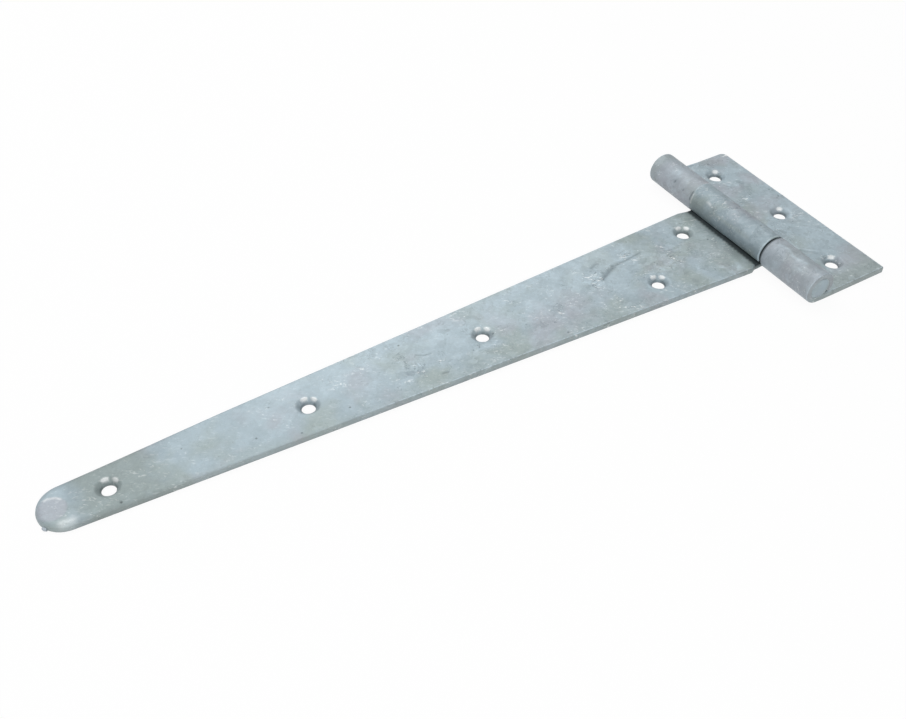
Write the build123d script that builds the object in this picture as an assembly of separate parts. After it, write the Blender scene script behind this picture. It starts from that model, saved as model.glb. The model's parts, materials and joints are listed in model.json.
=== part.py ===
"""T hinge: a long tapered strap and a short cross plate, both rolled round one riveted pin.

The backs of both leaves lie on Z = 0. The pin runs along Y, above the origin. The strap
reaches towards -X, the cross plate towards +X, and the knuckles stand on the +Z side.
All sizes are in millimetres.
"""

import math
import os

from build123d import *

# Sheet, pin and barrel
SHEET = 2.7  # both leaves are pressed from this sheet
PIN_DIAMETER = 8.44
RUNNING_CLEARANCE = 0.08  # all round the pin, in the knuckles of both leaves
CURL_END_GAP = 0.35  # from the rolled end of a leaf down to the leaf's own face

# Strap
STRAP_REACH = 300.0  # pin axis to tip
TIP_RADIUS = 9.9
STRAP_KNUCKLE = 44.0  # along the pin
NECK_GAP = 0.6  # from the plate's knuckles to the strap's shoulder chamfers, along X
SHOULDER_CHAMFER = 4.4  # along X
SHOULDER_OVERHANG = 0.95  # how far each shoulder stands out past the knuckle

# Cross plate
PLATE_LENGTH = 100.0  # along the pin
PLATE_REACH = 37.3  # pin axis to outer edge
PLATE_CORNER_RADIUS = 2.0
SLOT_RUNNING_GAP = 1.3  # from the strap's knuckle to the bottom of the plate's slot

# Seams between the strap's knuckle and the plate's two: the end play is all at -Y
NEAR_SEAM = 0.7
FAR_SEAM = 0.1

# Pin ends, riveted over into the mouths of the plate's knuckles
HEAD_SPREAD = 0.4
HEAD_LENGTH = 1.2
PIN_RECESS = 0.15

# Screw holes, countersunk on the front
HOLE_DIAMETER = 5.2
COUNTERSINK_ANGLE = 90.0
COUNTERSINK_LAND = 0.75  # straight wall that the countersink leaves at the back
ROW_FIRST_HOLE = 24.5  # from the strap's tip to the first hole of its row
ROW_PITCH = 74.25
ROW_COUNT = 3
STRAP_ROOT_HOLES = ((48.6, -9.9), (18.7, 10.8))  # distance from the pin axis, side offset
PLATE_END_MARGIN = 13.3  # from the plate's ends to its outer holes
PLATE_OUTER_MARGIN = 15.7  # from the plate's outer edge to its outer holes
PLATE_MIDDLE_MARGIN = 10.5  # from the plate's outer edge to its middle hole
PLATE_HOLES_SHIFT = 0.3  # how far the plate's holes sit towards +Y

# Worked out from the above
PIN_RADIUS = PIN_DIAMETER / 2
BORE_RADIUS = PIN_RADIUS + RUNNING_CLEARANCE
BARREL_RADIUS = BORE_RADIUS + SHEET
NECK_SETBACK = BARREL_RADIUS + NECK_GAP
SHOULDER_SETBACK = NECK_SETBACK + SHOULDER_CHAMFER
SHOULDER_WIDTH = STRAP_KNUCKLE + 2 * SHOULDER_OVERHANG
STRAP_SHIFT = (NEAR_SEAM - FAR_SEAM) / 2
SLOT_WIDTH = STRAP_KNUCKLE + NEAR_SEAM + FAR_SEAM
SLOT_BOTTOM = BARREL_RADIUS + SLOT_RUNNING_GAP
TALL = 4 * BARREL_RADIUS  # taller than anything that is cut or kept


def rolled_section(reach, side):
    """Side view of a leaf: flat sheet out to reach, its other end rolled round the pin.

    side is -1 for a leaf that reaches towards -X and +1 for one towards +X.
    """
    end_angle = math.acos((BORE_RADIUS - CURL_END_GAP) / BARREL_RADIUS)
    across = side * math.sin(end_angle)
    down = math.cos(end_angle)
    outer_end = (BARREL_RADIUS * across, BARREL_RADIUS - BARREL_RADIUS * down)
    inner_end = (BORE_RADIUS * across, BARREL_RADIUS - BORE_RADIUS * down)
    outer_top = (0, BARREL_RADIUS + BARREL_RADIUS)
    inner_top = (0, BARREL_RADIUS + BORE_RADIUS)
    outline = [
        Line((side * reach, SHEET), (side * reach, 0)),
        Line((side * reach, 0), (0, 0)),
        ThreePointArc((0, 0), outer_top, outer_end),
        Line(outer_end, inner_end),
        ThreePointArc(inner_end, inner_top, (0, SHEET)),
        Line((0, SHEET), (side * reach, SHEET)),
    ]
    return Plane.XZ * make_face(outline)


def strap_outline():
    """Plan view of the strap: round tip, straight taper, chamfered shoulders, neck."""
    tip = Vector(TIP_RADIUS - STRAP_REACH, 0)
    shoulder = Vector(-SHOULDER_SETBACK, SHOULDER_WIDTH / 2)
    to_shoulder = shoulder - tip
    turn = math.acos(TIP_RADIUS / to_shoulder.length)
    facing = math.atan2(to_shoulder.Y, to_shoulder.X) + turn
    tangent = tip + Vector(TIP_RADIUS * math.cos(facing), TIP_RADIUS * math.sin(facing))
    half_knuckle = STRAP_KNUCKLE / 2
    side = [
        tangent,
        shoulder,
        Vector(-NECK_SETBACK, half_knuckle),
        Vector(BARREL_RADIUS, half_knuckle),
    ]
    other_side = [Vector(p.X, -p.Y) for p in reversed(side)]
    edges = [
        Polyline(*side, *other_side),
        ThreePointArc(other_side[-1], (-STRAP_REACH, 0), tangent),
    ]
    return make_face(edges)


def plate_outline():
    """Plan view of the cross plate: a rectangle with a slot for the strap's knuckle."""
    left = -BARREL_RADIUS
    blank = Pos((left + PLATE_REACH) / 2, 0) * Rectangle(PLATE_REACH - left, PLATE_LENGTH)
    outer_corners = blank.vertices().sort_by(Axis.X)[-2:]
    blank = fillet(outer_corners, PLATE_CORNER_RADIUS)
    slot_length = SLOT_BOTTOM - left
    slot = Pos((left + SLOT_BOTTOM) / 2, 0) * Rectangle(slot_length, SLOT_WIDTH)
    return blank - slot


def leaf(outline, reach, side, width):
    """A leaf: its rolled section along Y, kept where its plan view is."""
    rolled = extrude(rolled_section(reach, side), amount=width, both=True)
    return rolled & extrude(outline, amount=TALL)


def screw_hole(x, y):
    """The space of one screw hole, countersunk from the front face of the sheet."""
    radius = HOLE_DIAMETER / 2
    straight = Pos(x, y, SHEET / 2) * Cylinder(radius, 2 * SHEET)
    height = 2 * SHEET
    mouth = radius + height * math.tan(math.radians(COUNTERSINK_ANGLE / 2))
    cone = Pos(x, y, COUNTERSINK_LAND + height / 2) * Cone(radius, mouth, height)
    return straight + cone


def strap_hole_places():
    """Centres of the strap's holes, on the strap's own centre line at Y = 0."""
    first = ROW_FIRST_HOLE - STRAP_REACH
    row = [(first + i * ROW_PITCH, 0.0) for i in range(ROW_COUNT)]
    return row + [(-setback, offset) for setback, offset in STRAP_ROOT_HOLES]


def plate_hole_places():
    """Centres of the cross plate's holes."""
    to_side = PLATE_LENGTH / 2 - PLATE_END_MARGIN
    outer_x = PLATE_REACH - PLATE_OUTER_MARGIN
    middle_x = PLATE_REACH - PLATE_MIDDLE_MARGIN
    return [
        (outer_x, PLATE_HOLES_SHIFT - to_side),
        (middle_x, PLATE_HOLES_SHIFT),
        (outer_x, PLATE_HOLES_SHIFT + to_side),
    ]


def riveted_bar(shank_radius, length):
    """A bar along Y, on the pin axis, with its two ends spread into shallow cones."""
    half = length / 2
    head_radius = shank_radius + HEAD_SPREAD
    half_section = Polyline(
        (0, -half),
        (head_radius, -half),
        (shank_radius, HEAD_LENGTH - half),
        (shank_radius, half - HEAD_LENGTH),
        (head_radius, half),
        (0, half),
        close=True,
    )
    bar = revolve(make_face(half_section), axis=Axis.Y)
    return Pos(0, 0, BARREL_RADIUS) * bar


def strap_leaf():
    """The long strap with its single wide knuckle."""
    strap = leaf(strap_outline(), STRAP_REACH, -1, SHOULDER_WIDTH)
    for x, y in strap_hole_places():
        strap -= screw_hole(x, y)
    return Pos(0, STRAP_SHIFT, 0) * strap


def cross_plate():
    """The cross plate with its two end knuckles, whose mouths take the pin's heads."""
    plate = leaf(plate_outline(), PLATE_REACH, 1, PLATE_LENGTH / 2)
    for x, y in plate_hole_places():
        plate -= screw_hole(x, y)
    return plate - riveted_bar(BORE_RADIUS, PLATE_LENGTH)


def hinge_pin():
    """The pin, a little shorter than the barrel."""
    return riveted_bar(PIN_RADIUS, PLATE_LENGTH - 2 * PIN_RECESS)


def main():
    """Write each piece to its own file."""
    os.makedirs("parts", exist_ok=True)
    pieces = {
        "strap_leaf": strap_leaf(),
        "cross_plate": cross_plate(),
        "hinge_pin": hinge_pin(),
    }
    for name, piece in pieces.items():
        export_step(piece, f"parts/{name}.step")
        print(name, round(piece.volume, 2))


main()
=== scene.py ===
"""The looks of a hot-dip galvanised T hinge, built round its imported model.

Sizes in the dataclasses are in millimetres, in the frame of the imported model, and every
mesh is written in metres. A leaf is made flat, as its pressed blank, with the rounded
rims, countersinks and flow marks of dipped zinc. A node tree then rolls its knuckles
round the pin, and other trees lay the zinc specks and beads.
"""

from __future__ import annotations

import json
import logging
import math
from dataclasses import dataclass, field
from enum import Enum
from typing import Callable, Sequence

import bpy
import numpy as np
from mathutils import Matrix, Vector
from mathutils import noise as perlin
from mathutils.geometry import delaunay_2d_cdt


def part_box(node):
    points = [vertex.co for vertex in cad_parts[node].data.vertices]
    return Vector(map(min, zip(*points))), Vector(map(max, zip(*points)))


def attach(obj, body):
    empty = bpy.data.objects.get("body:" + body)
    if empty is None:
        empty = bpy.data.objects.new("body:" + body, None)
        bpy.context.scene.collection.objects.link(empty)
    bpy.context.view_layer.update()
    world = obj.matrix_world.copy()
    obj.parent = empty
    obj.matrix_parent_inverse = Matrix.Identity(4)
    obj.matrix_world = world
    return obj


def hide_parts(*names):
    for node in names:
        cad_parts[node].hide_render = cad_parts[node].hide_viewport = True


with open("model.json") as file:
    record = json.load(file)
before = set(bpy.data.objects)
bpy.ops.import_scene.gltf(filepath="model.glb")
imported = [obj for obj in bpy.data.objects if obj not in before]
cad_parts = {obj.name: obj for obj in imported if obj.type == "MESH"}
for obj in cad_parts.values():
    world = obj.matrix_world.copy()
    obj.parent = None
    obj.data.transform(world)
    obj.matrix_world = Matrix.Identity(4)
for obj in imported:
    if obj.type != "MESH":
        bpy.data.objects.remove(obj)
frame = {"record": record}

LOG = logging.getLogger("t_hinge")
MM = 0.001
Colour = tuple[float, float, float]


class Side(Enum):
    """Which way a leaf reaches from the pin, along X."""

    GATE = -1
    POST = 1


# --------------------------------------------------------------------------- node trees


class Value:
    """A node's output that takes part in Python arithmetic by adding Math nodes."""

    def __init__(self, graph: Graph, socket: bpy.types.NodeSocket) -> None:
        """Wrap one output.

        Args:
            graph: The tree that the output belongs to.
            socket: The output itself.
        """
        self.graph = graph
        self.socket = socket

    def __add__(self, other: Value | float) -> Value:
        """Return self + other."""
        return self.graph.math("ADD", self, other)

    def __sub__(self, other: Value | float) -> Value:
        """Return self - other."""
        return self.graph.math("SUBTRACT", self, other)

    def __rsub__(self, other: Value | float) -> Value:
        """Return other - self."""
        return self.graph.math("SUBTRACT", other, self)

    def __mul__(self, other: Value | float) -> Value:
        """Return self * other."""
        return self.graph.math("MULTIPLY", self, other)

    def __truediv__(self, other: Value | float) -> Value:
        """Return self / other."""
        return self.graph.math("DIVIDE", self, other)

    __radd__ = __add__
    __rmul__ = __mul__

    def between(self, low: float, high: float) -> Value:
        """Return a smooth step that is 0 at low and 1 at high.

        Args:
            low: Where the step starts. It may be above high, which turns the step round.
            high: Where the step ends.

        Returns:
            The step, from 0 to 1.
        """
        settings = {"interpolation_type": "SMOOTHSTEP"}
        node = self.graph.add("ShaderNodeMapRange", settings, {0: self, 1: low, 2: high})
        return self.graph.out(node)


class Graph:
    """A node tree that is being built, for a shader or for geometry."""

    def __init__(self, tree: bpy.types.NodeTree) -> None:
        """Take a tree.

        Args:
            tree: The tree that gets the nodes.
        """
        self.tree = tree

    def add(
        self,
        kind: str,
        settings: dict[str, object] | None = None,
        inputs: dict[str | int, object] | None = None,
    ) -> bpy.types.Node:
        """Add any node.

        Args:
            kind: The node's type name.
            settings: Values of the node's own properties, set first.
            inputs: Sockets by name or number, with a constant, a socket or a Value.

        Returns:
            The new node.
        """
        node = self.tree.nodes.new(kind)
        for name, value in (settings or {}).items():
            setattr(node, name, value)
        for key, value in (inputs or {}).items():
            if isinstance(value, Value):
                value = value.socket
            if isinstance(value, bpy.types.NodeSocket):
                self.tree.links.new(value, node.inputs[key])
            else:
                node.inputs[key].default_value = value
        return node

    def out(self, node: bpy.types.Node, key: str | int = 0) -> Value:
        """Return one output of a node as a Value."""
        return Value(self, node.outputs[key])

    def math(self, operation: str, *values: Value | float) -> Value:
        """Return the result of a Math node on one or two values."""
        node = self.add("ShaderNodeMath", {"operation": operation}, dict(enumerate(values)))
        return self.out(node)


class ShaderGraph(Graph):
    """A material's tree, with patterns measured in millimetres on Object coordinates."""

    def __init__(self, material: bpy.types.Material) -> None:
        """Empty a material's tree and start again.

        Args:
            material: The material to fill.
        """
        material.use_nodes = True
        material.node_tree.nodes.clear()
        super().__init__(material.node_tree)
        place = self.add("ShaderNodeTexCoord")
        self.place = self.out(place, "Object")

    def mapped(self, shift: float, stretch: Colour, turn: float) -> Value:
        """Return the coordinates, moved, turned and squeezed.

        Args:
            shift: Distance along each axis, in metres, that sets one pattern off another.
            stretch: Factors along X, Y and Z.
            turn: Angle about Z, in radians.

        Returns:
            The new coordinates.
        """
        inputs = {
            "Vector": self.place,
            "Location": (shift, shift, shift),
            "Rotation": (0.0, 0.0, turn),
            "Scale": stretch,
        }
        return self.out(self.add("ShaderNodeMapping", {"vector_type": "TEXTURE"}, inputs))

    def clouds(
        self,
        size: float,
        detail: float = 2.0,
        rough: float = 0.5,
        bend: float = 0.0,
        seed: float = 0.0,
        stretch: Colour = (1.0, 1.0, 1.0),
        turn: float = 0.0,
    ) -> Value:
        """Return noise from 0 to 1.

        Args:
            size: Size of its largest blobs, in millimetres.
            detail: How many finer layers it has.
            rough: How strong those layers are.
            bend: How far it is distorted.
            seed: A number that tells one pattern from another.
            stretch: Lengths of the blobs along X, Y and Z, as factors of size.
            turn: Angle of those lengths about Z, in radians.

        Returns:
            The noise.
        """
        inputs = {
            "Vector": self.mapped(seed * 0.317, stretch, turn),
            "Scale": 1.0 / (size * MM),
            "Detail": detail,
            "Roughness": rough,
            "Distortion": bend,
        }
        return self.out(self.add("ShaderNodeTexNoise", None, inputs))

    def spots(self, size: float, seed: float) -> tuple[Value, Value]:
        """Return cells, as the distance from each cell's centre and a random number.

        Args:
            size: Distance from cell to cell, in millimetres.
            seed: A number that tells one pattern from another.

        Returns:
            The distance in cell sizes, and the cell's own random number.
        """
        inputs = {
            "Vector": self.mapped(seed * 0.211, (1.0, 1.0, 1.0), 0.0),
            "Scale": 1.0 / (size * MM),
        }
        node = self.add("ShaderNodeTexVoronoi", None, inputs)
        split = self.add("ShaderNodeSeparateColor", None, {0: node.outputs["Color"]})
        return self.out(node, "Distance"), self.out(split)

    def facets(self, size: float, wander: float, seed: float) -> Value:
        """Return one random number, from 0 to 1, for each angular cell.

        Args:
            size: Distance from cell to cell, in millimetres.
            wander: How far noise moves the cells' borders, in millimetres.
            seed: A number that tells one pattern from another.

        Returns:
            The cell's number.
        """
        place = self.mapped(seed * 0.173, (1.0, 1.0, 1.0), 0.0)
        inputs = {"Vector": place, "Scale": 1.0 / (size * 0.55 * MM), "Detail": 1.0}
        noise = self.add("ShaderNodeTexNoise", None, inputs)
        inputs = {0: self.out(noise, "Color"), 1: (wander * MM,) * 3, 2: place}
        moved = self.add("ShaderNodeVectorMath", {"operation": "MULTIPLY_ADD"}, inputs)
        inputs = {"Vector": self.out(moved), "Scale": 1.0 / (size * MM)}
        node = self.add("ShaderNodeTexVoronoi", None, inputs)
        split = self.add("ShaderNodeSeparateColor", None, {0: node.outputs["Color"]})
        return self.out(split)

    def blend(self, factor: Value | float, low: Value | Colour, high: Value | Colour) -> Value:
        """Return a colour between two, low at factor 0 and high at factor 1."""
        inputs = {0: factor}
        for key, colour in ((6, low), (7, high)):
            inputs[key] = colour if isinstance(colour, Value) else (*colour, 1.0)
        node = self.add("ShaderNodeMix", {"data_type": "RGBA"}, inputs)
        return self.out(node, 2)

    def brighter(self, colour: Value, factor: Value) -> Value:
        """Return a colour multiplied by a value."""
        node = self.add("ShaderNodeVectorMath", {"operation": "SCALE"}, {0: colour, 3: factor})
        return self.out(node)

    def attribute(self, name: str) -> Value:
        """Return a number kept on the mesh under this name."""
        node = self.add("ShaderNodeAttribute", {"attribute_name": name})
        return self.out(node, "Fac")


class ShapeGraph(Graph):
    """A Geometry Nodes tree with one mesh in, one mesh out and named sizes."""

    def __init__(self, name: str, sizes: Sequence[str]) -> None:
        """Start a tree.

        Args:
            name: The tree's name.
            sizes: Names of its number inputs.
        """
        tree = bpy.data.node_groups.new(name, "GeometryNodeTree")
        super().__init__(tree)
        tree.interface.new_socket("Geometry", in_out="INPUT", socket_type="NodeSocketGeometry")
        self.keys: dict[str, str] = {}
        for size in sizes:
            socket = tree.interface.new_socket(
                size, in_out="INPUT", socket_type="NodeSocketFloat"
            )
            self.keys[size] = socket.identifier
        tree.interface.new_socket("Geometry", in_out="OUTPUT", socket_type="NodeSocketGeometry")
        self.inputs = tree.nodes.new("NodeGroupInput")
        self.outputs = tree.nodes.new("NodeGroupOutput")

    def size(self, name: str) -> Value:
        """Return one of the tree's named numbers."""
        return self.out(self.inputs, name)

    def close(self, shape: Value, material: bpy.types.Material) -> None:
        """End the tree: make every instance real, give it its finish and put it out.

        Args:
            shape: The geometry to put out.
            material: Its finish.
        """
        real = self.add("GeometryNodeRealizeInstances", None, {0: shape})
        inputs = {"Geometry": self.out(real), "Material": material}
        dressed = self.add("GeometryNodeSetMaterial", None, inputs)
        self.tree.links.new(dressed.outputs[0], self.outputs.inputs[0])

    def run(
        self, source: bpy.types.Object, name: str, sizes: dict[str, float]
    ) -> bpy.types.Object:
        """Run the tree on an object and keep the result as a plain mesh.

        Args:
            source: The object that goes in. It is removed.
            name: Name of the piece that comes out.
            sizes: The tree's numbers by name.

        Returns:
            The finished piece.
        """
        modifier = source.modifiers.new(self.tree.name, "NODES")
        modifier.node_group = self.tree
        for size, value in sizes.items():
            modifier[self.keys[size]] = value
        bpy.context.view_layer.update()
        graph = bpy.context.evaluated_depsgraph_get()
        mesh = bpy.data.meshes.new_from_object(source.evaluated_get(graph))
        source.modifiers.remove(modifier)
        bpy.data.objects.remove(source)
        mesh.name = name
        mesh.shade_smooth()
        return link(name, mesh)


def link(name: str, mesh: bpy.types.Mesh) -> bpy.types.Object:
    """Return a new object for a mesh, linked to the scene."""
    obj = bpy.data.objects.new(name, mesh)
    bpy.context.scene.collection.objects.link(obj)
    return obj


# ----------------------------------------------------------------------------- finishes


@dataclass(frozen=True)
class Galvanising:
    """Hot-dip zinc that has dulled: pale blue-grey with green and lilac clouds."""

    name: str
    tone: float = 1.0
    blue: Colour = (0.380, 0.468, 0.515)
    green: Colour = (0.345, 0.410, 0.405)
    lilac: Colour = (0.400, 0.430, 0.475)
    pale: Colour = (0.555, 0.665, 0.725)
    dark: Colour = (0.150, 0.180, 0.190)
    # Near black that the darkening masks blend to: mostly painted shade, with a few dark spots.
    soot: Colour = (0.020, 0.030, 0.034)
    # Light zinc flecks, and painted glints on the countersinks' lumps and round the tip.
    bright: Colour = (0.900, 0.930, 0.930)
    wall: Colour = (0.300, 0.335, 0.320)
    cloud: float = 26.0
    patch: float = 6.0
    facet: float = 3.6
    grain: float = 1.2
    rough: float = 0.58
    metal: float = 0.30
    seed: float = 1.0

    def material(self) -> bpy.types.Material:
        """Build the finish.

        Returns:
            The material, which reads the mesh's masks.
        """
        material = bpy.data.materials.new(self.name)
        graph = ShaderGraph(material)
        clouds = graph.clouds(self.cloud, 3.0, 0.55, 0.3, self.seed)
        patches = graph.clouds(self.patch, 5.0, 0.62, 0.4, self.seed + 2.0)
        grain = graph.clouds(self.grain, 4.0, 0.7, 0.2, self.seed + 3.0)
        fine = graph.clouds(0.42, 2.0, 0.6, 0.0, self.seed + 4.0)

        zone = graph.attribute(Mask.SPRAY.value)
        colour = self.hues(graph, clouds)
        colour = self.crystals(graph, colour, patches, zone)
        colour = self.edges(graph, colour, grain, zone)
        colour = graph.blend(self.pits(graph), colour, self.dark)
        colour = graph.blend(self.cracks(graph, zone), colour, self.dark)
        colour = graph.blend(self.flecks(graph, patches, zone), colour, self.bright)
        # Bright zinc, with painted glints on the countersinks' lumps and the tip's bevel.
        fresh = graph.attribute("fresh")
        colour = graph.blend(fresh * (0.55 + grain * 0.6), colour, self.bright)
        shade = (0.82 + grain * 0.20 + fine * 0.16) * self.tone
        colour = graph.brighter(colour, shade)
        # Painted shade in creases, holes, seams and over the knuckles, with a few dark spots.
        colour = graph.blend(graph.attribute("soot"), colour, self.soot)

        rough = self.rough + (clouds - 0.5) * 0.16 + (grain - 0.5) * 0.16 - fresh * 0.15
        height = patches * 0.8 + grain * 0.55 + fine * 0.10
        bump_inputs = {"Strength": 0.6, "Distance": 0.00020, "Height": height}
        bump = graph.add("ShaderNodeBump", None, bump_inputs)
        shader_inputs = {
            "Base Color": colour,
            "Roughness": rough,
            "Metallic": self.metal,
            "Normal": graph.out(bump),
        }
        shader = graph.add("ShaderNodeBsdfPrincipled", None, shader_inputs)
        graph.add("ShaderNodeOutputMaterial", None, {"Surface": shader.outputs[0]})
        return material

    def hues(self, graph: ShaderGraph, clouds: Value) -> Value:
        """Return the broad colour: blue, green, lilac and pale zones, with painted sheen and
        painted shade among them.

        Args:
            graph: The material's tree.
            clouds: The widest noise.

        Returns:
            The colour.
        """
        drift = graph.clouds(self.cloud * 0.7, 2.0, 0.5, 0.4, self.seed + 1.0)
        colour = graph.blend(drift.between(0.46, 0.66) * 0.9, self.blue, self.green)
        colour = graph.blend(clouds.between(0.50, 0.66) * 0.8, colour, self.lilac)
        colour = graph.blend(graph.attribute("lilac"), colour, self.lilac)
        # Pale: pale zinc, with a painted sheen along the strap and painted highlights beside
        # creases.
        colour = graph.blend(graph.attribute("pale"), colour, self.pale)
        # Green: staining, and painted shade round the strap's tip, root and near edge and low on
        # the knuckle.
        return graph.blend(graph.attribute("stain"), colour, self.green)

    def crystals(
        self, graph: ShaderGraph, colour: Value, patches: Value, zone: Value
    ) -> Value:
        """Lay angular crystals of slightly different greys over a colour.

        Args:
            graph: The material's tree.
            colour: The colour so far.
            patches: The patch noise.
            zone: How rough the zinc is here.

        Returns:
            The new colour.
        """
        large = graph.facets(self.facet, self.facet * 0.5, self.seed + 11.0)
        small = graph.facets(self.facet * 0.34, self.facet * 0.2, self.seed + 12.0)
        some = zone * 0.75 + 0.25
        colour = graph.blend(patches.between(0.52, 0.64) * some * 0.34, colour, self.pale)
        colour = graph.blend(patches.between(0.45, 0.34) * some * 0.16, colour, self.dark)
        colour = graph.blend(large.between(0.80, 0.82) * some * 0.16, colour, self.dark)
        colour = graph.blend(large.between(0.22, 0.20) * some * 0.26, colour, self.pale)
        return graph.brighter(colour, 1.0 + (small - 0.5) * some * 0.16)

    def edges(self, graph: ShaderGraph, colour: Value, grain: Value, zone: Value) -> Value:
        """Darken the walls round a piece towards green grey, and paint a broken highlight on their
        crest.

        Args:
            graph: The material's tree.
            colour: The colour so far.
            grain: The fine noise.
            zone: How rough the zinc is here.

        Returns:
            The new colour.
        """
        rim = graph.attribute("rim")
        # Painted highlight along the crest of the rounded edge, broken by noise.
        crest = rim.between(0.02, 0.22) * rim.between(0.62, 0.35)
        broken = crest * grain.between(0.40, 0.54) * zone.between(0.10, 0.40)
        colour = graph.blend(broken * 0.8, colour, self.pale)
        return graph.blend(rim.between(0.60, 0.95) * 0.30, colour, self.wall)

    def pits(self, graph: ShaderGraph) -> Value:
        """Return a mask of small dark pits, in one cell out of a few."""
        distance, chance = graph.spots(5.0, self.seed + 6.0)
        return distance.between(0.12, 0.05) * chance.between(0.76, 0.80) * 0.7

    def cracks(self, graph: ShaderGraph, zone: Value) -> Value:
        """Return a mask of short dark hairlines, in the rougher patches only.

        Args:
            graph: The material's tree.
            zone: How rough the zinc is here.

        Returns:
            The mask.
        """
        noise = graph.clouds(3.2, 3.0, 0.65, 0.6, self.seed + 8.0)
        gate = graph.clouds(5.0, 2.0, 0.5, 0.0, self.seed + 9.0)
        line = graph.math("ABSOLUTE", noise - 0.5).between(0.022, 0.006)
        return line * gate.between(0.53, 0.60) * (zone * 0.8 + 0.15) * 0.75

    def flecks(self, graph: ShaderGraph, patches: Value, zone: Value) -> Value:
        """Return a mask of short light flecks, thicker where the patches are pale.

        Args:
            graph: The material's tree.
            patches: The patch noise.
            zone: How rough the zinc is here.

        Returns:
            The mask, from 0 to about a half.
        """
        stretch = (2.2, 1.0, 1.0)
        noise = graph.clouds(0.8, 2.0, 0.5, 0.8, self.seed + 7.0, stretch, -0.5)
        gate = graph.clouds(11.0, 2.0, 0.5, 0.0, self.seed + 10.0)
        cluster = gate.between(0.50, 0.58) * (zone * 0.8 + 0.2) * 0.75 + 0.15
        return noise.between(0.58, 0.68) * patches.between(0.36, 0.54) * cluster


@dataclass(frozen=True)
class WhiteSweep:
    """A white floor that shows as plain white and still takes a soft shadow."""

    name: str = "white_sweep"
    shown: float = 0.93
    grey: float = 0.86

    def material(self) -> bpy.types.Material:
        """Build the finish.

        Returns:
            The material.
        """
        material = bpy.data.materials.new(self.name)
        graph = ShaderGraph(material)
        seen = seen_directly(graph)
        matt = graph.add("ShaderNodeBsdfDiffuse", None, {"Color": (self.grey,) * 3 + (1.0,)})
        glow = graph.add("ShaderNodeEmission", None, {"Strength": 1.0})
        inputs = {0: seen * self.shown, 1: graph.out(matt), 2: graph.out(glow)}
        both = graph.add("ShaderNodeMixShader", None, inputs)
        graph.add("ShaderNodeOutputMaterial", None, {"Surface": graph.out(both)})
        return material


def seen_directly(graph: Graph) -> Value:
    """Return 1 for a camera, glossy or transmission ray, and 0 for any other."""
    rays = graph.add("ShaderNodeLightPath")
    to_camera, to_glossy = graph.out(rays, "Is Camera Ray"), graph.out(rays, "Is Glossy Ray")
    seen = graph.math("MAXIMUM", to_camera, to_glossy)
    return graph.math("MAXIMUM", seen, graph.out(rays, "Is Transmission Ray"))


# ------------------------------------------------------------------- outlines and fields


@dataclass(frozen=True)
class Corner:
    """A corner of a blank, with the radius that it is rounded to."""

    u: float
    v: float
    radius: float


def rounded_outline(corners: Sequence[Corner], spacing: float) -> np.ndarray:
    """Return a closed outline with its corners rounded.

    Args:
        corners: The corners, anticlockwise.
        spacing: Largest distance from point to point.

    Returns:
        The points, one row each.
    """
    stretches = []
    for i, corner in enumerate(corners):
        here = np.array((corner.u, corner.v))
        before = np.array((corners[i - 1].u, corners[i - 1].v)) - here
        after_corner = corners[(i + 1) % len(corners)]
        after = np.array((after_corner.u, after_corner.v)) - here
        before /= np.linalg.norm(before)
        after /= np.linalg.norm(after)
        half = math.acos(max(-1.0, min(1.0, float(before @ after)))) / 2
        reach = corner.radius / math.tan(half)
        middle = (before + after) / np.linalg.norm(before + after)
        centre = here + middle * corner.radius / math.sin(half)
        first = here + before * reach - centre
        last = here + after * reach - centre
        start = math.atan2(first[1], first[0])
        turn = (math.atan2(last[1], last[0]) - start + math.pi) % math.tau - math.pi
        steps = max(5, math.ceil(abs(turn) * corner.radius / (spacing * 0.6)))
        angles = start + turn * np.linspace(0, 1, steps + 1)
        stretches.append(centre + corner.radius * np.c_[np.cos(angles), np.sin(angles)])
    points = []
    for i, arc in enumerate(stretches):
        after = stretches[(i + 1) % len(stretches)][0]
        count = max(1, round(float(np.linalg.norm(after - arc[-1])) / spacing))
        shares = np.linspace(0, 1, count + 1)[1:-1, None]
        points += [arc, arc[-1] + (after - arc[-1]) * shares]
    outline = np.concatenate(points)
    advance = np.linalg.norm(outline - np.roll(outline, 1, axis=0), axis=1)
    return outline[advance > 1e-4]


def inward(outline: np.ndarray) -> np.ndarray:
    """Return the inward direction at each point of an anticlockwise outline."""
    along = np.roll(outline, -1, axis=0) - np.roll(outline, 1, axis=0)
    along /= np.linalg.norm(along, axis=1)[:, None]
    return np.c_[-along[:, 1], along[:, 0]]


def distance_to(points: np.ndarray, path: np.ndarray) -> np.ndarray:
    """Return each point's distance from a path of straight pieces.

    Args:
        points: The points, one row each.
        path: The path's points in order.

    Returns:
        One distance for each point.
    """
    nearest = np.full(len(points), np.inf)
    for start, end in zip(path[:-1], path[1:]):
        along = end - start
        share = np.clip((points - start) @ along / max(along @ along, 1e-12), 0, 1)
        gap = points - (start + share[:, None] * along)
        nearest = np.minimum(nearest, np.hypot(gap[:, 0], gap[:, 1]))
    return nearest


def inside(points: np.ndarray, outline: np.ndarray) -> np.ndarray:
    """Return which points lie inside a closed outline."""
    found = np.zeros(len(points), bool)
    for (u0, v0), (u1, v1) in zip(outline, np.roll(outline, -1, axis=0)):
        if v0 == v1:
            continue
        crosses = (v0 > points[:, 1]) != (v1 > points[:, 1])
        at = u0 + (points[:, 1] - v0) / (v1 - v0) * (u1 - u0)
        found ^= crosses & (points[:, 0] < at)
    return found


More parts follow.
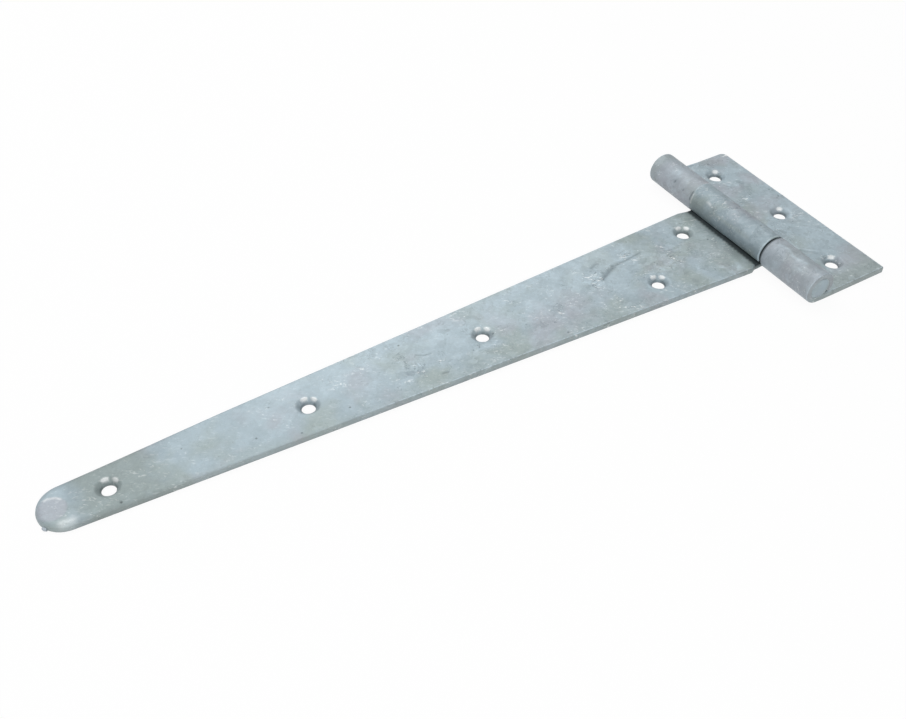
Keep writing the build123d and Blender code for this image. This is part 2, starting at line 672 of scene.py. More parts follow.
def ripple(points: np.ndarray, size: float, seed: float) -> np.ndarray:
    """Return smooth noise, from about -1 to 1, at points on a blank.

    Args:
        points: The points, in millimetres.
        size: Size of its blobs.
        seed: A number that tells one pattern from another.

    Returns:
        One number for each point.
    """
    return np.array([perlin.noise((u / size, v / size, seed)) for u, v in points])


def step(low: float, high: float, x: np.ndarray) -> np.ndarray:
    """Return a smooth step of x that is 0 at low and 1 at high."""
    t = np.clip((x - low) / (high - low), 0, 1)
    return t * t * (3 - 2 * t)


class Mask(Enum):
    """A mask on the mesh that the finish reads."""

    # Pale zinc, with a painted sheen along the strap and painted highlights beside creases and
    # scratches.
    PALE = "pale"
    # Green: staining, with painted shade round the strap's tip, beside the barrel, along the near
    # edge and low on the knuckle.
    STAIN_AND_SHADE = "stain"
    LILAC = "lilac"
    # Painted shade in creases, dents, countersinks, seams and on the knuckles, and a few dark
    # spots.
    SHADE_AND_DIRT = "soot"
    # Bright zinc, with painted glints on the countersinks' lumps and round the tip.
    FRESH_ZINC_AND_GLINT = "fresh"
    RIM = "rim"
    SPRAY = "spray"


@dataclass(frozen=True)
class Mark:
    """A ridge, groove, bump or dent on the side of a leaf that is seen.

    A mark with one point is round. On a knuckle, u counts along the rolled sheet.
    """

    path: tuple[tuple[float, float], ...]
    width: float
    height: float
    mask: Mask = Mask.PALE
    amount: float = 0.0

    def bell(self, points: np.ndarray) -> np.ndarray:
        """Return 1 on the mark, falling smoothly to 0 away from it."""
        path = np.array(self.path if len(self.path) > 1 else self.path * 2)
        gap = distance_to(points, path) / self.width
        return np.exp(-gap * gap)

    def rows(self) -> np.ndarray:
        """Return points on and beside the mark, so that the mesh can take its shape."""
        path = np.array(self.path)
        if len(path) == 1:
            rings = [ScrewHole(*self.path[0], 0.0).ring(self.width * k, 12) for k in (0.5, 1, 1.5)]
            return np.concatenate([path, *rings])
        rows = []
        for start, end in zip(path[:-1], path[1:]):
            length = float(np.linalg.norm(end - start))
            across = np.array((start[1] - end[1], end[0] - start[0])) / length
            shares = np.arange(0, 1, self.width * 0.8 / length)[:, None]
            line = start + (end - start) * shares
            rows += [line + across * self.width * k for k in (-1.6, -0.8, 0.0, 0.8, 1.6)]
        return np.concatenate(rows)


@dataclass(frozen=True)
class ScrewHole:
    """A round hole, countersunk from the front."""

    u: float
    v: float
    radius: float
    land: float = 0.75
    slope: float = 1.0
    lumps: tuple[tuple[float, float, float], ...] = ()

    def mouth(self, sheet: float) -> float:
        """Return the countersink's radius at the front face."""
        return self.radius + (sheet - self.land) * self.slope

    def rings(self, sheet: float) -> np.ndarray:
        """Return the points of the hole's rings, from the wall outwards."""
        mouth = self.mouth(sheet)
        radii = [self.radius, self.radius + 0.07, self.radius + 0.22]
        radii += list(np.linspace(self.radius + 0.5, mouth + 1.0, 8))
        return np.concatenate([self.ring(radius) for radius in radii])

    def ring(self, radius: float, count: int = 44) -> np.ndarray:
        """Return points round the hole at a radius."""
        angles = np.arange(count) * math.tau / count
        return np.c_[self.u + radius * np.cos(angles), self.v + radius * np.sin(angles)]


# -------------------------------------------------------------------------------- leaves


@dataclass
class Leaf:
    """A leaf of the hinge: a pressed blank with holes, rolled round the pin.

    On the blank, u runs from the leaf's free end at -reach, through the pin's plane at 0,
    to the end of the rolled sheet, v runs along the pin, and the front is at the sheet's
    thickness.
    """

    name: str
    node: str
    body: str
    slot: str
    side: Side
    finish: Galvanising
    sheet: float = 2.7
    curl_gap: float = 0.35
    spacing: float = 1.05
    marks: tuple[Mark, ...] = ()
    low: Vector = field(init=False)
    high: Vector = field(init=False)

    def __post_init__(self) -> None:
        """Read the leaf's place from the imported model."""
        self.low, self.high = (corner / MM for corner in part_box(self.node))

    @property
    def barrel(self) -> float:
        """Radius of the barrel, which is also the pin's height."""
        return self.high.z / 2

    @property
    def reach(self) -> float:
        """Distance from the pin's axis to the free end."""
        return -self.low.x if self.side is Side.GATE else self.high.x

    @property
    def rolled(self) -> float:
        """Length of the rolled sheet, along its middle."""
        bore = self.barrel - self.sheet
        end_angle = math.acos((bore - self.curl_gap) / self.barrel)
        return (math.tau - end_angle) * (self.barrel - self.sheet / 2)

    def corners(self) -> list[Corner]:
        """Return the blank's corners, anticlockwise."""
        raise NotImplementedError

    def holes(self) -> list[ScrewHole]:
        """Return the leaf's screw holes."""
        raise NotImplementedError

    def rim_width(self, points: np.ndarray) -> np.ndarray:
        """Return how wide the rounding of the edge is near each point."""
        raise NotImplementedError

    def rim_drop(self, points: np.ndarray) -> tuple[np.ndarray, np.ndarray]:
        """Return how deep that rounding is on the front and on the back."""
        raise NotImplementedError

    def tints(self, points: np.ndarray) -> dict[str, np.ndarray]:
        """Return the masks for the finish, by name."""
        return {mask.value: np.zeros(len(points)) for mask in Mask}

    def build(self) -> bpy.types.Object:
        """Make the leaf.

        Returns:
            The finished piece, riding on its body.
        """
        mesh = self.blank()
        piece = roll_tree(self.finish.material()).run(
            link(self.name + "_blank", mesh),
            self.name,
            {
                "Barrel Radius": self.barrel * MM,
                "Sheet": self.sheet * MM,
                "Direction": -float(self.side.value),
            },
        )
        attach(piece, self.body)
        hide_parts(self.node)
        LOG.info("%s: %d faces", piece.name, len(piece.data.polygons))
        return piece

    def blank(self) -> bpy.types.Mesh:
        """Return the flat blank as a closed mesh, with its tint masks."""
        outline = rounded_outline(self.corners(), self.spacing)
        holes = self.holes()
        points, triangles = self.triangulated(outline, holes)
        from_edge = distance_to(points, np.vstack([outline, outline[:1]]))
        front, back, masks = self.surfaces(points, from_edge, holes)
        flat = np.vstack([np.c_[points, front], np.c_[points, back]]) * MM
        faces = self.closed_faces(triangles, len(points))
        mesh = bpy.data.meshes.new(self.name + "_blank")
        mesh.from_pydata(flat.tolist(), [], faces)
        for name, values in masks.items():
            layer = mesh.attributes.new(name, "FLOAT", "POINT")
            layer.data.foreach_set("value", values.astype(np.float32))
        mesh.validate()
        return mesh

    def triangulated(
        self, outline: np.ndarray, holes: list[ScrewHole]
    ) -> tuple[np.ndarray, np.ndarray]:
        """Divide the blank into triangles.

        Args:
            outline: The blank's outline.
            holes: Its holes.

        Returns:
            The points, and the three point numbers of each triangle.
        """
        loops = [outline] + [hole.ring(hole.radius) for hole in holes]
        width = self.rim_width(outline)[:, None]
        normal = inward(outline)
        rim_turns = (25, 45, 65, 90)
        extra = [outline + normal * width * (1 - math.cos(math.radians(a))) for a in rim_turns]
        extra.append(outline + normal * (width + 0.45))
        extra += [hole.rings(self.sheet)[len(hole.ring(hole.radius)):] for hole in holes]
        extra.append(self.grid(outline, holes))
        extra += [mark.rows() for mark in self.marks]
        loose = np.concatenate(extra)
        loose = loose[inside(loose, outline)]
        points = np.concatenate(loops + [loose])
        edges = []
        start = 0
        for loop in loops:
            count = len(loop)
            edges += [(start + i, start + (i + 1) % count) for i in range(count)]
            start += count
        made = delaunay_2d_cdt([Vector(p) for p in points], edges, [], 0, 1e-5)
        placed = np.array([tuple(p) for p in made[0]])
        triangles = np.array(made[2])
        centres = placed[triangles].mean(axis=1)
        keep = inside(centres, outline)
        for hole in holes:
            gap = np.hypot(centres[:, 0] - hole.u, centres[:, 1] - hole.v)
            keep &= gap > hole.radius * 0.995
        return placed, triangles[keep]

    def grid(self, outline: np.ndarray, holes: list[ScrewHole]) -> np.ndarray:
        """Return staggered points that fill the blank clear of its edges and holes."""
        low, high = outline.min(axis=0), outline.max(axis=0)
        rows = np.arange(low[1], high[1], self.spacing * math.sqrt(0.75))
        columns = np.arange(low[0], high[0], self.spacing)
        points = np.array(
            [(u + (j % 2) * self.spacing / 2, v) for j, v in enumerate(rows) for u in columns]
        )
        points = points[inside(points, outline)]
        clear = distance_to(points, np.vstack([outline, outline[:1]]))
        keep = clear > self.rim_width(points) + 1.0
        for hole in holes:
            gap = np.hypot(points[:, 0] - hole.u, points[:, 1] - hole.v)
            keep &= gap > hole.mouth(self.sheet) + 1.5
        return points[keep]

    def surfaces(
        self, points: np.ndarray, from_edge: np.ndarray, holes: list[ScrewHole]
    ) -> tuple[np.ndarray, np.ndarray, dict[str, np.ndarray]]:
        """Return the heights of the blank's two faces, and the masks for its finish.

        Args:
            points: The blank's points.
            from_edge: Each point's distance from the outline.
            holes: The blank's holes.

        Returns:
            The front's heights, the back's heights, and the masks of both together.
        """
        width = self.rim_width(points)
        front_drop, back_drop = self.rim_drop(points)
        inner = np.clip(1 - from_edge / width, 0, 1)
        rounding = 1 - np.sqrt(1 - inner * inner)
        wave = 0.5 + 0.5 * (0.7 * ripple(points, 17, 3.1) + 0.3 * ripple(points, 6, 8.3))
        front = self.sheet - 0.10 * wave - front_drop * rounding
        back = 0.05 * wave + back_drop * rounding
        masks = self.tints(points)
        rolled = points[:, 0] > 0
        for mark in self.marks:
            bell = mark.bell(points)
            front += np.where(rolled, 0.0, mark.height * bell)
            back -= np.where(rolled, mark.height * bell, 0.0)
            name = mark.mask.value
            masks[name] = np.maximum(masks[name], mark.amount * bell)
        for hole in holes:
            front = self.countersunk(points, hole, front, masks)
        masks["rim"] = inner
        back = np.maximum(back, 0.0)
        front = np.maximum(front, back + 0.15)
        both = {name: np.concatenate([mask, mask]) for name, mask in masks.items()}
        # Painted shade on the front face alone, added to the shared mask.
        front_shade_mask = both["soot"][: len(points)]
        front_shade_mask[:] = np.maximum(front_shade_mask, self.front_painted_shade(points, inner))
        return front, back, both

    def front_painted_shade(self, points: np.ndarray, inner: np.ndarray) -> np.ndarray:
        """Return painted shade on the front face alone, in the mouth of the roll."""
        mouth = step(0.10, 0.25, inner) * step(0.97, 0.80, inner)
        return 0.95 * mouth * step(1.0, 3.0, points[:, 0])

    def countersunk(
        self,
        points: np.ndarray,
        hole: ScrewHole,
        front: np.ndarray,
        masks: dict[str, np.ndarray],
    ) -> np.ndarray:
        """Sink one hole's cone into the front.

        Args:
            points: The blank's points.
            hole: The hole.
            front: The front's heights so far.
            masks: The masks, which get the lumps' bright zinc with painted glints, and painted
                shade in the cone.

        Returns:
            The new heights.
        """
        offset = points - (hole.u, hole.v)
        gap = np.hypot(offset[:, 0], offset[:, 1])
        angle = np.arctan2(offset[:, 1], offset[:, 0])
        out = gap - hole.radius
        cone = hole.land + out * hole.slope - 0.16 * np.exp(-((out / 0.12) ** 2))
        cone += 0.06 * np.sin(3 * angle + hole.u) * np.exp(-((out / 1.2) ** 2))
        # Painted shade in the cone: on the sides that face along X and in a ring at the throat.
        uneven = 0.75 + 0.5 * ripple(points, 1.6, hole.u)
        sides = (0.35 + 0.65 * np.cos(angle) ** 2) * step(2.3, 0.4, out)
        ring = np.exp(-(((out - 0.1) / 0.32) ** 2))
        cone_shade = np.clip((0.30 * sides + 0.42 * ring) * uneven, 0, 0.6)
        mouth = hole.mouth(self.sheet) - hole.radius
        for at, size, rise in hole.lumps:
            turn = (angle - at + math.pi) % math.tau - math.pi
            lump = np.exp(-((turn / size) ** 2) - ((out - mouth * 0.62) / 0.75) ** 2)
            cone += rise * lump
            cone_shade *= 1 - lump
            # Bright zinc on each lump, with a painted glint.
            bright = step(0.28, 0.62, lump) * (out < mouth + 0.6)
            masks["fresh"] = np.maximum(masks["fresh"], bright)
        masks["soot"] = np.maximum(masks["soot"], cone_shade)
        soft = 0.5
        share = np.clip(0.5 + 0.5 * (front - cone) / soft, 0, 1)
        sunk = front * (1 - share) + cone * share - soft * share * (1 - share)
        return np.where(out < mouth + 2.5, sunk, front)

    def closed_faces(self, triangles: np.ndarray, count: int) -> list[tuple[int, ...]]:
        """Return faces for the front, the back and the walls between them.

        Args:
            triangles: The front's triangles, anticlockwise.
            count: How many points each face of the blank has.

        Returns:
            All faces, facing outwards once the blank is rolled.
        """
        front = [tuple(t) for t in triangles.tolist()]
        faces = front + [(a + count, c + count, b + count) for a, b, c in front]
        edges = {(t[i], t[(i + 1) % 3]) for t in front for i in range(3)}
        faces += [(b, a, a + count, b + count) for a, b in sorted(edges) if (b, a) not in edges]
        if self.side is Side.POST:
            faces = [face[::-1] for face in faces]
        return faces


def roll_tree(material: bpy.types.Material) -> ShapeGraph:
    """Return the tree that rolls a flat blank round the pin.

    Args:
        material: The leaf's finish.

    Returns:
        The tree. Its input Direction is 1 where the blank's u runs along +X and -1 where
        it runs along -X.
    """
    graph = ShapeGraph("roll_round_pin", ("Barrel Radius", "Sheet", "Direction"))
    barrel = graph.size("Barrel Radius")
    place = graph.add("GeometryNodeInputPosition")
    split = graph.add("ShaderNodeSeparateXYZ", None, {0: graph.out(place)})
    along, across, height = (graph.out(split, i) for i in range(3))
    past = graph.math("MAXIMUM", along, 0.0)
    flat = graph.math("MINIMUM", along, 0.0)
    angle = past / (barrel - graph.size("Sheet") * 0.5)
    radius = barrel - height
    x = flat + radius * graph.math("SINE", angle)
    z = barrel - radius * graph.math("COSINE", angle)
    inputs = {"X": x * graph.size("Direction"), "Y": across, "Z": z}
    rolled = graph.add("ShaderNodeCombineXYZ", None, inputs)
    inputs = {"Geometry": graph.out(graph.inputs, "Geometry"), "Position": graph.out(rolled)}
    moved = graph.add("GeometryNodeSetPosition", None, inputs)
    graph.close(graph.out(moved), material)
    return graph


# Angle from +X of the line through each pair of holes: a circle of two holes doesn't say.
PAIR_DIRECTIONS = {
    "strap_row_tip_pair": 0.0,
    "strap_row_root_pair": 0.0,
    "strap_root_pair": math.atan2(20.7, 29.9),
    "plate_near_pair": math.atan2(36.7, 5.2),
    "plate_far_pair": math.atan2(36.7, -5.2),
}


def hole_places(names: Sequence[str]) -> list[tuple[float, float, float]]:
    """Return the screw holes that the record's mounts name.

    Args:
        names: Names of mounts that are patterns of two holes.

    Returns:
        X, Y and radius of each hole, each place once.
    """
    places: dict[tuple[int, int], tuple[float, float, float]] = {}
    for mount in frame["record"]["mounts"]:
        if mount["name"] not in names:
            continue
        x, y, _ = (p / MM for p in mount["pos_m"])
        sizes = mount["dims"]
        half = sizes.get("spacing_x_mm", sizes.get("pcd_mm", 0.0)) / 2
        offset = PAIR_DIRECTIONS[mount["name"]]
        for sign in (-1, 1):
            spot = (x + sign * half * math.cos(offset), y + sign * half * math.sin(offset))
            key = (round(spot[0]), round(spot[1]))
            places[key] = (*spot, sizes["hole_r_mm"])
    return list(places.values())


# Marks that darken the finish mostly paint shade into grooves and dents; pale marks beside creases
# and scratches paint highlight on their lit flanks.
STRAP_MARKS = (
    Mark(
        (
            (-295.2, -4.6), (-292.0, -4.1), (-290.1, -1.6),
            (-289.8, 1.5), (-291.3, 4.4), (-294.0, 5.4),
        ),
        0.5,
        -0.16,
    ),
    Mark(
        ((-295.6, 5.0), (-294.6, 5.3), (-292.0, 4.4), (-290.9, 3.2)),
        0.45, 0.10, Mask.FRESH_ZINC_AND_GLINT, 0.55,
    ),
    Mark(((-293.4, -7.3), (-291.4, -7.6), (-289.8, -7.6)), 1.5, 0.15, Mask.FRESH_ZINC_AND_GLINT, 0.42),
    Mark(((-273.8, -8.5),), 0.55, -0.35, Mask.SHADE_AND_DIRT, 0.75),
    # The crease by the root: painted shade on its lower side, painted highlight on its upper
    # flank.
    Mark(((-67.3, 3.2), (-62.7, 5.6), (-58.5, 7.4)), 0.9, -0.34, Mask.SHADE_AND_DIRT, 0.40),
    Mark(((-58.9, 8.1), (-56.7, 8.0), (-52.4, 8.3), (-43.2, 9.6)), 0.5, -0.20, Mask.SHADE_AND_DIRT, 0.34),
    Mark(((-66.6, 5.2), (-62.4, 7.6), (-58.2, 9.6), (-52.0, 10.0)), 1.0, 0.16, Mask.PALE, 0.35),
    Mark(((-67.2, 11.7), (-63.1, 13.0)), 0.6, -0.25, Mask.SHADE_AND_DIRT, 0.30),
    Mark(((-162.8, -4.8), (-159.6, 4.0)), 0.5, -0.10, Mask.SHADE_AND_DIRT, 0.14),
    Mark(((-155.0, 3.4), (-152.0, 1.4), (-149.6, 1.2)), 0.4, -0.12, Mask.SHADE_AND_DIRT, 0.25),
    Mark(((-151.1, -10.5), (-149.4, -10.9)), 0.45, -0.15, Mask.SHADE_AND_DIRT, 0.35),
    Mark(((24.9, -16.6), (25.9, -15.6)), 1.0, -0.12, Mask.SHADE_AND_DIRT, 0.30),
    Mark(((22.5, 11.4), (22.2, 13.4)), 0.45, 0.05, Mask.FRESH_ZINC_AND_GLINT, 0.6),
    # Staining with painted shade low on the knuckle, on the side facing the strap.
    Mark(((24.4, 7.6), (23.6, -13.0)), 0.7, -0.05, Mask.STAIN_AND_SHADE, 0.7),
    Mark(((23.0, 21.9), (26.4, 21.7)), 0.35, 0.03, Mask.FRESH_ZINC_AND_GLINT, 0.6),
)

PLATE_MARKS = (
    # A scratch: painted highlight along its ridge, painted shade beneath.
    Mark(((-15.5, -22.0), (-18.5, -25.2), (-21.5, -28.0)), 0.7, 0.18, Mask.PALE, 0.5),
    Mark(((-14.4, -22.6), (-17.4, -26.0), (-20.4, -29.0)), 0.6, -0.15, Mask.SHADE_AND_DIRT, 0.16),
    Mark(((-12.2, 35.6), (-12.9, 34.6)), 0.5, -0.15, Mask.SHADE_AND_DIRT, 0.35),
    Mark(((-12.6, 35.9), (-16.8, 32.4)), 0.4, 0.12, Mask.PALE, 0.6),
    Mark(((-19.6, 28.6), (-21.8, 26.0)), 0.4, -0.12, Mask.SHADE_AND_DIRT, 0.25),
    Mark(
        ((16.6, -26.4), (17.5, -30.4), (16.2, -34.4), (16.5, -37.4), (17.2, -41.5)),
        0.5, 0.05, Mask.PALE, 0.55,
    ),
    Mark(((15.5, -34.2), (14.7, -40.5), (14.9, -45.2)), 0.8, -0.12, Mask.SHADE_AND_DIRT, 0.14),
    Mark(((12.1, 34.3),), 0.65, -0.30, Mask.SHADE_AND_DIRT, 0.45),
    Mark(((11.3, 28.1),), 0.50, -0.25, Mask.SHADE_AND_DIRT, 0.45),
    Mark(((10.0, 22.9), (12.9, 22.9)), 0.35, -0.12, Mask.SHADE_AND_DIRT, 0.6),
)


@dataclass
class Strap(Leaf):
    """The long tapered strap with its single wide knuckle."""

    tip_radius: float = 9.9
    knuckle: float = 44.0
    neck: float = 7.6
    chamfer: float = 4.4

    def corners(self) -> list[Corner]:
        """Return the blank's corners, anticlockwise."""
        shift = (self.low.y + self.high.y) / 2
        half = (self.high.y - self.low.y) / 2
        shoulder = self.neck + self.chamfer
        run = self.reach - self.tip_radius - shoulder
        away = math.hypot(run, half)
        slope = math.tan(math.atan2(half, run) - math.asin(self.tip_radius / away))
        tip = half - (self.reach - shoulder) * slope
        one_side = [
            Corner(-self.reach, tip, self.tip_radius),
            Corner(-shoulder, half, 1.4),
            Corner(-self.neck, self.knuckle / 2, 1.0),
            Corner(self.rolled, self.knuckle / 2, 0.9),
        ]
        near = [Corner(c.u, shift - c.v, c.radius) for c in one_side]
        near[1] = Corner(near[1].u + 2.2, near[1].v - 2.2 * slope, 0.8)
        far = [Corner(c.u, shift + c.v, c.radius) for c in reversed(one_side)]
        return near + far

    def holes(self) -> list[ScrewHole]:
        """Return the row of three and the two staggered holes near the knuckle."""
        names = ("strap_row_tip_pair", "strap_row_root_pair", "strap_root_pair")
        lumps = ((0.55, 0.36, 0.55), (1.55, 0.40, 0.60))
        return [ScrewHole(x, y, radius, lumps=lumps) for x, y, radius in hole_places(names)]

    def rim_width(self, points: np.ndarray) -> np.ndarray:
        """Return a wide rim round the tip and a tight one at the far seam."""
        u, v = points[:, 0], points[:, 1]
        knuckle = step(-6.0, -3.0, u)
        seam = np.where(v > 0, 0.2, 1.0)
        return (0.7 + 1.6 * self.near_tip(u)) * (1 - knuckle) + seam * knuckle

    def rim_drop(self, points: np.ndarray) -> tuple[np.ndarray, np.ndarray]:
        """Return how deep the rim's rounding is on the front and on the back."""
        u, v = points[:, 0], points[:, 1]
        knuckle = step(-6.0, -3.0, u)
        seam = np.where(v > 0, 0.06, 0.8)
        front = (0.55 + 1.15 * self.near_tip(u)) * (1 - knuckle) + 0.25 * knuckle
        back = 0.18 * (1 - knuckle) + seam * knuckle
        return front, back

    def near_tip(self, u: np.ndarray) -> np.ndarray:
        """Return 1 round the tip and 0 further along the strap."""
        return step(-225, -283, u)

    def tints(self, points: np.ndarray) -> dict[str, np.ndarray]:
        """Return the masks for the finish, by name."""
        masks = super().tints(points)
        u, v = points[:, 0], points[:, 1]
        half = self.tip_radius + (u + self.reach) * 0.045
        wide, small = ripple(points, 24, 5.0), ripple(points, 7, 6.0)
        across = v / half + 0.35 * wide
        along = u + 14 * wide
        # Painted sheen: paler towards the far edge and along the middle of the strap.
        pale = step(-245, -215, along) * step(-42, -62, along)
        masks["pale"] = 0.46 * step(-0.75, 0.75, across) * pale * (0.8 + 0.6 * small)
        # Green darkening: painted shade round the tip, beside the barrel's root and along the near
        # edge, with staining.
        green = step(-250, -264, along) * step(-289, -283, u + 2 * small)
        root = 0.7 * step(-30, -14, u + 5 * small) * step(3, -3, u)
        lower = 0.4 * step(-0.45, -0.9, across) * step(-40, -70, u)
        masks["stain"] = np.clip(np.maximum.reduce([0.9 * green, root, lower]), 0, 1)
        tip = np.hypot(u + self.reach - 5.4, v - 0.4)
        masks["lilac"] = 0.8 * step(5.6, 4.6, tip)
        masks["soot"] = self.gap_shade(points)
        zone = 0.2 + 0.8 * step(-212, -165, u + 6 * small)
        masks["spray"] = zone * (0.35 + 0.65 * self.rough_patch(points))
        return masks

    def gap_shade(self, points: np.ndarray) -> np.ndarray:
        """Return painted shade over the knuckle, deeper on its lower side and dark at its near
        end, with lighter painted shade round the tip.
        """
        u, v = points[:, 0], points[:, 1]
        small = ripple(points, 4, 7.0)
        under = 0.17 * step(2, 8, u) + 0.16 * step(24.3, 25.1, u + 0.4 * small)
        tip = 0.17 * step(-248, -262, u + 3 * small) * step(-291, -287, u + small)
        end = 0.75 * step(-self.knuckle / 2 + 1.0, -self.knuckle / 2 + 0.4, v) * step(4, 6, u)
        return np.maximum.reduce([under, end, tip])

    def front_painted_shade(self, points: np.ndarray, inner: np.ndarray) -> np.ndarray:
        """Return painted shade on the front face alone, with a painted shadow in the hollow beside
        the barrel.
        """
        u = points[:, 0]
        # Painted shadow of the barrel: dark at its foot, fading over the strap.
        hollow = 0.75 * step(-8.3, -7.3, u)
        hollow += 0.24 * step(-15, -8, u + 2 * ripple(points, 4, 7.0))
        hollow = np.minimum(hollow * step(0.5, -0.5, u), 0.9)
        return np.maximum(super().front_painted_shade(points, inner), hollow)

    def rough_patch(self, points: np.ndarray) -> np.ndarray:
        """Return 1 in the clusters where zinc specks are thick."""
        noise = ripple(points, 11, 9.0)
        centre = np.exp(-(((points[:, 0] + 38) / 9) ** 2) - ((points[:, 1] + 1) / 8) ** 2)
        return np.clip(step(0.18, 0.45, noise) + centre, 0, 1)


@dataclass
class CrossPlate(Leaf):
    """The short cross plate with its two end knuckles."""

    slot_width: float = 44.8
    slot_bottom: float = 8.3
    far_corner: float = 2.6
    near_corner: float = 0.8

    def corners(self) -> list[Corner]:
        """Return the blank's corners, anticlockwise."""
        half_slot = self.slot_width / 2
        return [
            Corner(-self.reach, self.low.y, self.near_corner),
            Corner(self.rolled, self.low.y, 0.9),
            Corner(self.rolled, -half_slot, 0.6),
            Corner(-self.slot_bottom, -half_slot, 1.0),
            Corner(-self.slot_bottom, half_slot, 1.0),
            Corner(self.rolled, half_slot, 0.6),
            Corner(self.rolled, self.high.y, 0.9),
            Corner(-self.reach, self.high.y, self.far_corner),
        ]

    def holes(self) -> list[ScrewHole]:
        """Return the plate's three holes."""
        found = hole_places(("plate_near_pair", "plate_far_pair"))
        lumps = ((2.2, 0.40, 0.30),)
        return [ScrewHole(-x, y, radius, lumps=lumps) for x, y, radius in found]

    def rim_width(self, points: np.ndarray) -> np.ndarray:
        """Return a plain rim, wide at the barrel's ends and tight at the far seam."""
        u, v = points[:, 0], points[:, 1]
        knuckle = step(-3.0, 0.0, u)
        seam = np.where(v > 0, 0.2, 0.5)
        rolled = np.where(self.by_slot(v), seam, 0.6)
        return 0.7 * (1 - knuckle) + rolled * knuckle

    def rim_drop(self, points: np.ndarray) -> tuple[np.ndarray, np.ndarray]:
        """Return how deep the rim's rounding is on the front and on the back."""
        u, v = points[:, 0], points[:, 1]
        knuckle = step(-3.0, 0.0, u)
        outer = np.where(v > 0, 0.06, 0.4)
        back = np.where(self.by_slot(v), outer, 0.45)
        mouth = np.where(self.by_slot(v), 0.2, 0.6)
        return 0.5 * (1 - knuckle) + mouth * knuckle, 0.18 * (1 - knuckle) + back * knuckle

    def by_slot(self, v: np.ndarray) -> np.ndarray:
        """Return whether points are nearer the slot than the barrel's end."""
        return np.abs(v) < (self.slot_width / 2 + self.high.y) / 2

    def tints(self, points: np.ndarray) -> dict[str, np.ndarray]:
        """Return the masks for the finish, by name."""
        masks = super().tints(points)
        u, v = points[:, 0], points[:, 1]
        drift = 0.5 + 0.5 * ripple(points, 14, 2.0)
        middle = np.exp(-(((u + 30) / 9) ** 2) - ((v + 8) / 16) ** 2)
        end = step(-38, -46, v) * step(0, -6, u)
        masks["pale"] = np.maximum(0.22 * step(0.5, 0.75, drift), 0.30 * middle)
        masks["pale"] += 0.25 * np.exp(-(((u + 13) / 4) ** 2) - ((v - 45) / 5) ** 2)
        masks["stain"] = np.maximum(0.4 * step(0.55, 0.8, 1 - drift), 0.8 * end)
        masks["lilac"] = 0.55 * step(2, 6, u)
        # Painted shade in the seam by the slot on the near side.
        near_seam = step(-self.slot_width / 2 - 1.0, -self.slot_width / 2 - 0.4, v) * (v < 0)
        masks["soot"] = 0.75 * near_seam * step(4, 6, u)
        thick = np.exp(-(((u + 17) / 5) ** 2) - ((v + 10) / 5) ** 2)
        thick += np.exp(-(((u + 13) / 5) ** 2) - ((v + 45) / 4) ** 2)
        masks["spray"] = 0.35 + 0.65 * step(0.10, 0.40, ripple(points, 10, 4.0)) + thick
        # Painted shade over the knuckles.
        masks["soot"] = np.maximum(masks["soot"], 0.08 * step(2, 8, u))
        return masks


# ------------------------------------------------------------------- zinc runs and specks


@dataclass(frozen=True)
class Run:
    """A run of zinc along a path, thin at its ends.

    The path's points and the radius are in millimetres.
    """

    path: tuple[tuple[float, float, float], ...]
    radius: float
    unevenness: float = 0.25
    taper: float = 2.0

    def edges(self, seed: float) -> bpy.types.Mesh:
        """Return the path as edges, with each point's own thickness.

        Args:
            seed: A number that tells one run's unevenness from another's.

        Returns:
            The mesh, with the attribute "swell".
        """
        points = np.array(self.path)
        steps = np.linalg.norm(np.diff(points, axis=0), axis=1)
        along = np.concatenate([[0.0], np.cumsum(steps)])
        count = max(8, math.ceil(along[-1] / 0.35))
        places = np.linspace(0, along[-1], count + 1)
        fine = np.stack([np.interp(places, along, points[:, i]) for i in range(3)], axis=1)
        taper = min(self.taper, along[-1] / 2)
        end = np.minimum(places, along[-1] - places) / taper
        swell = np.sqrt(np.clip(1 - (1 - np.clip(end, 0, 1)) ** 2, 0.002, 1))
        uneven = np.array([perlin.noise((place / 1.7, seed, 0.5)) for place in places])
        swell *= 1 + self.unevenness * (uneven - 1) * 0.5
        mesh = bpy.data.meshes.new("run")
        links = [(i, i + 1) for i in range(count)]
        mesh.from_pydata((fine * MM).tolist(), links, [])
        layer = mesh.attributes.new("swell", "FLOAT", "POINT")
        layer.data.foreach_set("value", swell.astype(np.float32))
        return mesh


def arc(
    radius: float, height: float, y: float, start: float, end: float
) -> tuple[tuple[float, float, float], ...]:
    """Return points round the pin's axis.

    Args:
        radius: Distance from the axis.
        height: The axis's height.
        y: Place along the axis.
        start: First angle from +X towards +Z, in degrees.
        end: Last angle.

    Returns:
        The points.
    """
    angles = np.radians(np.linspace(start, end, max(6, int(abs(end - start) / 5))))
    return tuple(
        (radius * math.cos(a), y, height + radius * math.sin(a)) for a in angles.tolist()
    )


def run_tree(material: bpy.types.Material) -> ShapeGraph:
    """Return the tree that thickens edges into a run of zinc.

    Args:
        material: The run's finish.

    Returns:
        The tree.
    """
    graph = ShapeGraph("zinc_run", ("Radius",))
    curve = graph.add(
        "GeometryNodeMeshToCurve", None, {"Mesh": graph.out(graph.inputs, "Geometry")}
    )
    swell = graph.add("GeometryNodeInputNamedAttribute", None, {"Name": "swell"})
    inputs = {"Curve": graph.out(curve), "Radius": graph.out(swell)}
    uneven = graph.add("GeometryNodeSetCurveRadius", None, inputs)
    profile = graph.add(
        "GeometryNodeCurvePrimitiveCircle",
        None,
        {"Resolution": 12, "Radius": graph.size("Radius")},
    )
    inputs = {
        "Curve": graph.out(uneven),
        "Profile Curve": graph.out(profile),
        "Fill Caps": True,
    }
    tube = graph.add("GeometryNodeCurveToMesh", None, inputs)
    graph.close(graph.out(tube), material)
    return graph


